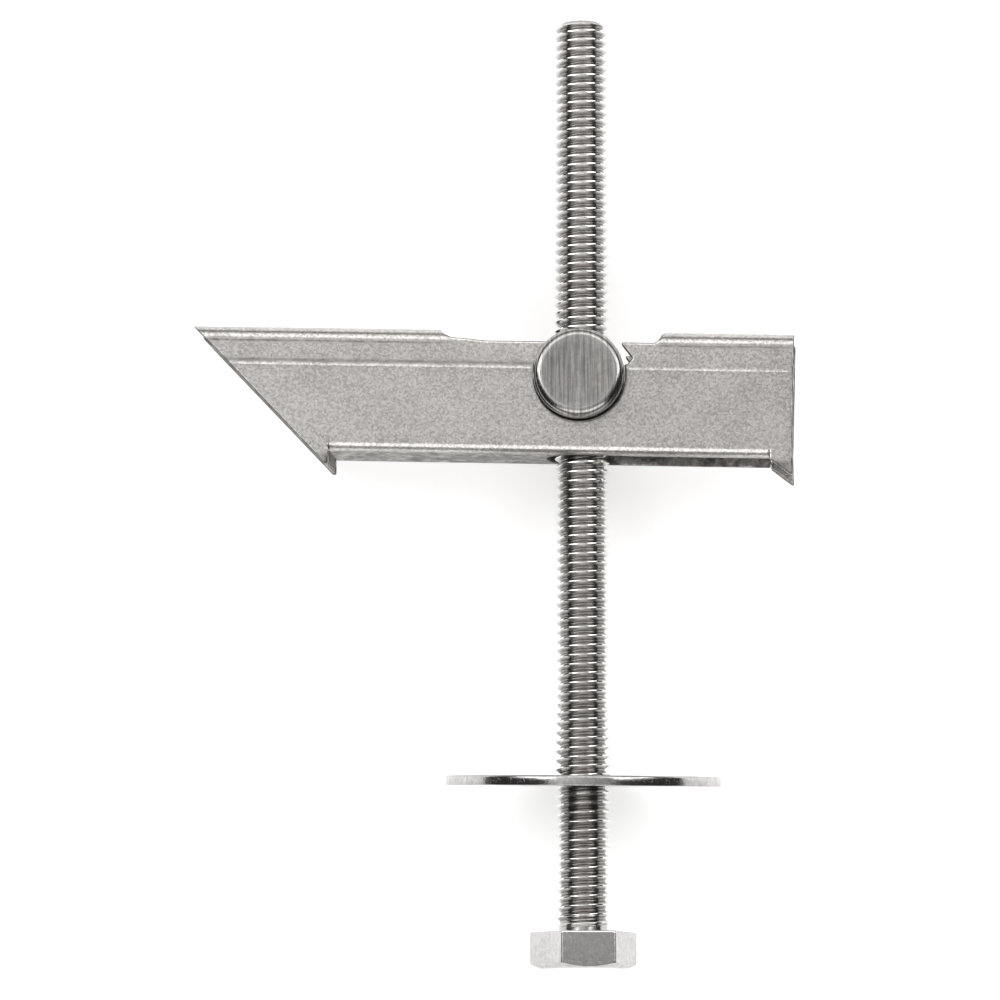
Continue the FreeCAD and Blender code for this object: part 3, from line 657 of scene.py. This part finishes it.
# Heights run from the tilting axis towards the lips, places from it along the channel
# and depths into the sheet. Outline points are (place, height).
SHEET = 1.0
WEB_LOW = -8.65         # outside of the web
LIP_TOP = 4.95
WALL_UPPER = 4.7        # outside of the wall above the crease, from the middle
WALL_STEP = 0.2         # how far it steps in below
CREASE = (0.6, 1.28)    # foot and top of that step
CREASE_FALL = 1.6       # how much steeper the step is at its foot
WEB_BEND = 1.25
LIP_BEND = 1.35
LIP_EDGE = 3.3          # the lips' and the slot's edges, from the middle
NOSE = -42.6            # tip of the nose, at the lips' top
TAIL = 23.15
WEB_ENDS = (-27.1, 20.7)  # past these the walls alone run on, and make the feet
FEET = (-10.1, -10.6)   # lowest points of the pointed and the sloping foot
FOOT_SLOPE = (-7.4, -8.75)  # the sloping foot's upper corners, at the tail and at the web
FOOT_SPREAD = 0.15      # how far its point stands out past the tail
TEAR = math.radians(38)  # how far round the bend the wall is torn from the web's ends
SLIT = 0.06             # width of that tear
TEAR_FADE = 0.04        # length over which the bend ends at the tear,
WALL_FADE = 0.9         # and what is added to it next to the wall
SEAT = 4.96             # radius of the nut's seats
SEAT_MOUTH = 1.17       # height at which a seat's arc meets the nick
RIM = 3.64              # height of the walls beside the seats
SLOT_END = -3.6         # far end of the slot
LIP_ENDS = (-15.3, 9.1)  # where the long lip stops and the short one starts
LONG_RAMP = ((-15.2, 4.75), (-14.8, 4.4), (-14.2, 4.05), (-13.4, 3.92), (-12.6, 3.9),
             (-11.8, 3.8), (-10.7, 3.66), (-9.6, RIM))
NICK = ((5.2, 1.26), (5.7, 1.92), (4.33, RIM))
SHORT_RAMP = ((8.0, RIM), (8.35, 3.85), (8.65, 4.3))
NOSE_SHEAR = 3.0        # distance over which the nose's slanted cut turns square
BLANK_CORNER = 0.22     # rounding of the blank's corners
BLANK_SPACING = 0.4     # distance between the points of its outline
SOFT_EDGE = 0.15        # width of the softened rim,
SOFT_TEAR = 0.04        # and of that at the tears
RIM_BAND = 0.18         # an even band of faces inside that rim
ROLL_OVER = 0.2         # depth of the rim's rounding on the sheet's outside,
BURR_SIDE = 0.1         # and on its inside
CREASE_SHADE = 1.2      # height of the painted shade over the crease, and of the painted shade under the lips
LIP_SHADE = 3.3         # and of those under the lips
LIP_SHADE_ENDS = (-14.6, 8.2)
WEB_SHADE = 1.3          # how far from the walls the painted shade on the web begins
BEAM_TURN = math.radians(1.7)

wall_lower = WALL_UPPER - WALL_STEP
flat_web = wall_lower - WEB_BEND
wall_start = flat_web + WEB_BEND * math.pi / 2          # in the run across the strip
lip_start = wall_start + (LIP_TOP - LIP_BEND) - (WEB_LOW + WEB_BEND)
lip_flat = lip_start + LIP_BEND * math.pi / 2
strip_half = lip_flat + (WALL_UPPER - LIP_BEND - LIP_EDGE)


def run_at(height):
    """Place across the flat strip of a point of the wall or lip at some height."""
    if height <= LIP_TOP - LIP_BEND:
        return wall_start + height - (WEB_LOW + WEB_BEND)
    return lip_start + LIP_BEND * math.asin(min(1.0, (height - LIP_TOP + LIP_BEND) / LIP_BEND))


def fold(place, run, depth):
    """Fold a point of the strip; depth is measured into the sheet from its outside."""
    side = -1.0 if run < 0 else 1.0
    run = abs(run)
    if run <= wall_start:
        # past the web's ends the wall runs on flat, and the bend fades into it, quickly
        # where it is torn and slowly next to the wall
        bend = max(0.0, (run - flat_web) / WEB_BEND)
        y = WEB_LOW + WEB_BEND * (1 - math.cos(bend))
        z = flat_web + WEB_BEND * math.sin(bend) if run > flat_web else run
        ny, nz = -math.cos(bend), math.sin(bend)
        from_wall = math.pi / 2 - bend
        fade = TEAR_FADE + WALL_FADE * max(0.0, 1 - from_wall / TEAR)
        past = min(place - WEB_ENDS[0], WEB_ENDS[1] - place)
        share = min(1.0, max(0.0, 0.5 + (past + SLIT / 2) / fade))
        share = share * share * (3 - 2 * share)
        y += (1 - share) * (run - wall_start + WEB_LOW + WEB_BEND - y)
        z += (1 - share) * (wall_lower - z)
        ny, nz = share * ny, share * nz + 1 - share
        long = math.hypot(ny, nz)
        ny, nz = ny / long, nz / long
    elif run <= lip_start:
        y = run - wall_start + WEB_LOW + WEB_BEND
        # the crease starts steep at its foot and runs out upwards
        part = min(1.0, max(0.0, (y - CREASE[0]) / (CREASE[1] - CREASE[0])))
        z = wall_lower + WALL_STEP * (1 - (1 - part) ** CREASE_FALL)
        slope = WALL_STEP * CREASE_FALL * (1 - part) ** (CREASE_FALL - 1) if y > CREASE[0] else 0.0
        slope /= CREASE[1] - CREASE[0]
        long = math.hypot(1.0, slope)
        ny, nz = -slope / long, 1.0 / long
    elif run <= lip_flat:
        bend = (run - lip_start) / LIP_BEND
        y = LIP_TOP - LIP_BEND + LIP_BEND * math.sin(bend)
        z = WALL_UPPER - LIP_BEND + LIP_BEND * math.cos(bend)
        ny, nz = math.sin(bend), math.cos(bend)
    else:
        y, z, ny, nz = LIP_TOP, WALL_UPPER - LIP_BEND - (run - lip_flat), 1.0, 0.0
    # the nose is sheared through wall and lip at one slant
    from_nose = place - nose_line(y)
    x = place + depth * ny * max(0.0, 1 - max(0.0, from_nose) / NOSE_SHEAR)
    return Vector((x, y - depth * ny, side * (z - depth * nz))) * MM


def nose_line(height):
    """Place of the slanted nose at a height; it falls back at half a right angle."""
    return NOSE + LIP_TOP - height


# The blank's outline on one side of the strip's middle, from the web's end at the nose
# round the foot, nose, lips, seat, nick and tail to the round end of the slot
tear_top = wall_start - WEB_BEND * TEAR
half_blank = [(WEB_ENDS[0], 0.0), (WEB_ENDS[0], tear_top), (WEB_ENDS[0] - SLIT, tear_top),
              (WEB_ENDS[0] - SLIT, run_at(FEET[0])), (nose_line(FEET[0]), run_at(FEET[0]))]
for step in range(5):
    height = CREASE[0] + (CREASE[1] - CREASE[0]) * step / 4
    half_blank.append((nose_line(height), run_at(height)))
half_blank.append((nose_line(LIP_TOP - LIP_BEND), lip_start))
for step in range(1, 9):
    run = lip_start + (lip_flat - lip_start) * step / 9
    height = LIP_TOP - LIP_BEND + LIP_BEND * math.sin((run - lip_start) / LIP_BEND)
    half_blank.append((nose_line(height), run))
half_blank += [(nose_line(LIP_TOP), strip_half), (LIP_ENDS[0], strip_half)]
half_blank += [(place, run_at(height)) for place, height in LONG_RAMP]
seat_start = math.atan2(RIM, -math.sqrt(SEAT ** 2 - RIM ** 2))
seat_end = 2 * math.pi + math.atan2(SEAT_MOUTH, math.sqrt(SEAT ** 2 - SEAT_MOUTH ** 2))
for angle in np.linspace(seat_start, seat_end, 73):
    half_blank.append((SEAT * math.cos(angle), run_at(SEAT * math.sin(angle))))
half_blank += [(place, run_at(height)) for place, height in NICK + SHORT_RAMP]
half_blank += [(LIP_ENDS[1], strip_half), (TAIL, strip_half), (TAIL, run_at(FOOT_SLOPE[0])),
               (TAIL + FOOT_SPREAD, run_at(FEET[1])),
               (WEB_ENDS[1] + SLIT, run_at(FOOT_SLOPE[1])), (WEB_ENDS[1] + SLIT, tear_top),
               (WEB_ENDS[1], tear_top), (WEB_ENDS[1], LIP_EDGE)]
slot_middle = SLOT_END + LIP_EDGE
half_blank += [(slot_middle + LIP_EDGE * math.cos(math.radians(a)),
                LIP_EDGE * math.sin(math.radians(a))) for a in range(90, 181, 6)]


def rounded(points, radius):
    """Round the corners of a closed outline and space its points evenly."""
    result = []
    count = len(points)
    for number, point in enumerate(points):
        here = np.array(point)
        before = np.array(points[number - 1]) - here
        after = np.array(points[(number + 1) % count]) - here
        a, b = np.linalg.norm(before), np.linalg.norm(after)
        turn = math.acos(max(-1.0, min(1.0, float(before @ after) / (a * b))))
        # a point of a round stretch stays as it is
        if turn > math.radians(160):
            result.append(here)
            continue
        cut = min(radius / math.tan(turn / 2), 0.48 * a, 0.48 * b)
        start, end = here + before / a * cut, here + after / b * cut
        for step in range(6):
            part = step / 5
            result.append((1 - part) ** 2 * start + 2 * part * (1 - part) * here + part ** 2 * end)
    spaced = []
    for number, here in enumerate(result):
        following = result[(number + 1) % len(result)]
        pieces = max(1, int(round(np.linalg.norm(following - here) / BLANK_SPACING)))
        for step in range(pieces):
            spaced.append(here + (following - here) * step / pieces)
    return np.array(spaced)


def inset(points, distance):
    """Move a closed outline, drawn anticlockwise, inwards by a distance."""
    before = points - np.roll(points, 1, axis=0)
    after = np.roll(points, -1, axis=0) - points
    normals = []
    for edge in (before, after):
        edge = edge / np.maximum(np.linalg.norm(edge, axis=1), 1e-9)[:, None]
        normals.append(np.stack([-edge[:, 1], edge[:, 0]], axis=1))
    total = normals[0] + normals[1]
    share = 1 + (normals[0] * normals[1]).sum(axis=1)
    return points + distance * total / np.maximum(share, 0.35)[:, None]


def inside(points, spots):
    """Which spots lie in a closed outline."""
    x, y = spots[:, 0][:, None], spots[:, 1][:, None]
    x1, y1 = points[:, 0][None], points[:, 1][None]
    following = np.roll(points, -1, axis=0)
    x2, y2 = following[:, 0][None], following[:, 1][None]
    crosses = ((y1 > y) != (y2 > y)) & (x < (x2 - x1) * (y - y1) / (y2 - y1 + 1e-12) + x1)
    return crosses.sum(axis=1) % 2 == 1


other_half = [(place, -run) for place, run in reversed(half_blank[1:-1])]
blank = rounded(half_blank + other_half, BLANK_CORNER)
following = np.roll(blank, -1, axis=0)
if np.sum(blank[:, 0] * following[:, 1] - following[:, 0] * blank[:, 1]) < 0:
    blank = blank[::-1].copy()
to_tear = np.minimum(abs(blank[:, 0] - WEB_ENDS[0] + SLIT / 2),
                     abs(blank[:, 0] - WEB_ENDS[1] - SLIT / 2))
across_blank = abs(blank[:, 1])
at_tear = (to_tear < 0.1) & (across_blank > flat_web) & (across_blank < wall_start)
soft_edge = np.where(at_tear, SOFT_TEAR, SOFT_EDGE)[:, None]
rim_outline = inset(blank, soft_edge)
second_outline = inset(blank, soft_edge + RIM_BAND)
# lines along the strip that the mesh follows: closest on the bends and on the crease
runs = [0.0, 0.8, 1.6, 2.4, flat_web]
runs += [flat_web + WEB_BEND * math.pi / 2 * n / 8 for n in range(1, 9)]
runs += [run_at(h) for h in np.linspace(-6.7, 0.0, 10)]
runs += [run_at(h) for h in np.linspace(CREASE[0], CREASE[1], 8)]
runs += [run_at(h) for h in (1.52, 1.9, 2.5, 3.0, 3.15, LIP_SHADE, 3.45)]
runs += [lip_start + LIP_BEND * math.pi / 2 * n / 9 for n in range(0, 10)]
runs = sorted(set([round(r, 5) for r in runs] + [-round(r, 5) for r in runs]))
grid = [(x, r) for x in np.arange(NOSE, TAIL + 0.5, 0.6) for r in runs]
# closer points where the bend fades into the feet
for end, way in ((WEB_ENDS[0] - SLIT / 2, 1), (WEB_ENDS[1] + SLIT / 2, -1)):
    for across_tear in np.arange(-0.55, 0.56, 0.1):
        for arc in range(0, 38, 4):
            for mirror in (-1, 1):
                run = wall_start - WEB_BEND * math.radians(arc)
                grid.append((end + way * across_tear, mirror * run))
grid = np.array(grid)
grid = grid[inside(second_outline, grid)]
# points that would crowd the band inside the rim are left out, in blocks to spare memory
keep = []
for start in range(0, len(grid), 400):
    block = grid[start:start + 400]
    apart = np.linalg.norm(block[:, None] - second_outline[None], axis=2)
    keep.append(np.min(apart, axis=1) > 0.07)
grid = grid[np.concatenate(keep)]
spots = np.concatenate([rim_outline, second_outline, grid])
count = len(rim_outline)
rim_edges = [(n, (n + 1) % count) for n in range(count)]
flat_points, _, triangles, origins, _, _ = delaunay_2d_cdt(
    [Vector(spot) for spot in spots], rim_edges, [list(range(count))], 1, 1e-6)
where = {}
for number, first in enumerate(origins):
    for origin in first:
        where[origin] = number
made = bmesh.new()
wear_and_shade = made.verts.layers.float.new("edge")
outside = [made.verts.new(fold(p[0], p[1], 0.0)) for p in flat_points]
underside = [made.verts.new(fold(p[0], p[1], SHEET)) for p in flat_points]
for corners in triangles:
    made.faces.new([outside[n] for n in corners])
    made.faces.new([underside[n] for n in reversed(corners)])
# the rim's softened edge: how far each line of it stands in, and how deep in the sheet
soft_lines = [(1 - math.sin(a), ROLL_OVER * (1 - math.cos(a))) for a in quarter(4)[1:]]
soft_lines += [(1 - math.cos(a), SHEET - BURR_SIDE * (1 - math.sin(a))) for a in quarter(4)[:-1]]
layers = [[outside[where[n]] for n in range(count)]]
for share, depth in soft_lines:
    edge = inset(blank, soft_edge * share)
    layers.append([made.verts.new(fold(p[0], p[1], depth)) for p in edge])
layers.append([underside[where[n]] for n in range(count)])
for upper, lower in zip(layers, layers[1:]):
    for n in range(count):
        after = (n + 1) % count
        made.faces.new((upper[n], lower[n], lower[after], upper[after]))
# marked: the sheared edge, where bare steel has dulled, and painted shade on the web's outside
# face, over the long crease and under the lips
for layer in layers[1:-1]:
    for vertex, torn in zip(layer, at_tear):
        vertex[wear_and_shade] = 0.0 if torn else 1.0
for vertex, (place, run) in zip(outside, flat_points):
    run = abs(run)
    painted_web_shade = 0.85 * max(0.0, min(1.0, (wall_start - WEB_SHADE - run) / 0.6))
    over_crease = max(0.0, 1 - abs(run - run_at(CREASE_SHADE)) / 0.3)
    if place > -SEAT:
        over_crease = 0.0
    under_lip = max(0.0, 1 - abs(run - run_at(LIP_SHADE)) / 0.24)
    if LIP_SHADE_ENDS[0] < place < LIP_SHADE_ENDS[1]:
        under_lip = 0.0
    vertex[wear_and_shade] = max(painted_web_shade, 0.75 * over_crease, 0.9 * under_lip)
bmesh.ops.dissolve_degenerate(made, edges=made.edges, dist=1e-8)
bmesh.ops.recalc_face_normals(made, faces=made.faces)
beam_zinc, tree, film, _ = plated(
    "beam_zinc", bright=(0.67, 0.645, 0.625), dull=(0.35, 0.34, 0.33), grain=0.15, cloud=7.0,
    speckle=0.7, roughness=0.13, spread=0.14, bump=0.55)
# the marked colour is the sheared edge's dull bare steel and the painted shade on web, crease and
# lips
apply_wear_and_painted_light(tree, film.outputs["Color"], film.outputs["Roughness"], marked_color=(0.10, 0.095, 0.09),
    marked_roughness=0.7, patch=1.5, amount=0.95)
to_beam = LAID @ Matrix.Rotation(-BEAM_TURN, 4, "Z")
finished("folded_channel", made, "beam", "toggle_beam", beam_zinc, 60, to_beam)

# Ground, light and camera
# A plain pale table that glows a little, soft light from large screens overhead, behind
# and in front, and a camera straight above.

TABLE_REACH = 1.5
CAMERA_OFFSET = (-0.00896, -0.0129, 0.505)  # from the tilting axis, in metres

ground_mesh = bpy.data.meshes.new("table_top")
ground_mesh.from_pydata([(x * TABLE_REACH, y * TABLE_REACH, 0)
                         for x, y in ((-1, -1), (1, -1), (1, 1), (-1, 1))], [], [(0, 1, 2, 3)])
table_top = bpy.data.objects.new("table_top", ground_mesh)
bpy.context.scene.collection.objects.link(table_top)
paper = bpy.data.materials.new("white_paper")
paper.use_nodes = True
wire(paper.node_tree, paper.node_tree.nodes["Principled BSDF"], Base_Color=(0.9, 0.9, 0.9, 1),
     Roughness=0.8, Emission_Color=(1, 1, 1, 1), Emission_Strength=0.46)
ground_mesh.materials.append(paper)

world = bpy.data.worlds.new("studio")
world.use_nodes = True
bpy.context.scene.world = world
sky = world.node_tree
backdrop = sky.nodes["Background"]
direction = sky.nodes.new("ShaderNodeSeparateXYZ")
sky.links.new(sky.nodes.new("ShaderNodeTexCoord").outputs["Generated"], direction.inputs[0])
flat_reach = sums(sky, "SQRT", sums(sky, "SUBTRACT", 1.0, sums(
    sky, "MULTIPLY", direction.outputs[2], direction.outputs[2])))
toward = sums(sky, "DIVIDE", direction.outputs[1], sums(sky, "MAXIMUM", flat_reach, 0.001))


def span(value, low, high, soft):
    """One between two values of a direction, fading to nothing past them."""
    rise = sums(sky, "DIVIDE", sums(sky, "SUBTRACT", value, low - soft), soft, clamp=True)
    fall = sums(sky, "DIVIDE", sums(sky, "SUBTRACT", high + soft, value), soft, clamp=True)
    return sums(sky, "MULTIPLY", rise, fall)


# Soft screens: the heights and the side between which each stands, and its brightness. A
# height is the sine of the angle above the table, and a side runs from -1 at the front
# to 1 at the back.
BACK = (0.75, 2.0, 0.1)
BACK_CORNERS = (0.35, 0.6, 0.1)
FRONT = (-2.0, -0.75, 0.1)
SCREENS = (
    ((0.70, 0.84, 0.03), BACK, 2.4), ((0.47, 0.65, 0.03), BACK, 1.5),
    ((-1.0, 0.43, 0.03), BACK, 0.35), ((0.56, 0.88, 0.03), FRONT, 2.1),
    ((-1.0, 0.45, 0.05), FRONT, 0.45), ((0.45, 0.85, 0.05), BACK_CORNERS, 3.8))
# overhead a wide one that is brighter on the left, and all round a dim room
ceiling = sums(sky, "MULTIPLY", span(direction.outputs[2], 0.90, 2.0, 0.04), sums(
    sky, "SUBTRACT", 0.64, sums(sky, "MULTIPLY", direction.outputs[0], 0.9)))
total = sums(sky, "ADD", 0.04, ceiling)
for heights, side, strength in SCREENS:
    shape = sums(sky, "MULTIPLY", span(direction.outputs[2], *heights), span(toward, *side))
    total = sums(sky, "ADD", total, sums(sky, "MULTIPLY", shape, strength))
sky.links.new(total, backdrop.inputs[1])
backdrop.inputs[0].default_value = (1.0, 0.995, 0.985, 1)

lens = bpy.data.cameras.new("camera")
lens.sensor_width = 36.0
lens.lens = 166.3
lens.clip_start = 0.01
lens.clip_end = 20.0
camera = bpy.data.objects.new("camera", lens)
camera.location = pivot + Vector(CAMERA_OFFSET)
bpy.context.scene.collection.objects.link(camera)
bpy.context.scene.camera = camera
bpy.context.scene.view_settings.view_transform = "Standard"
bpy.context.scene.view_settings.exposure = 0.0
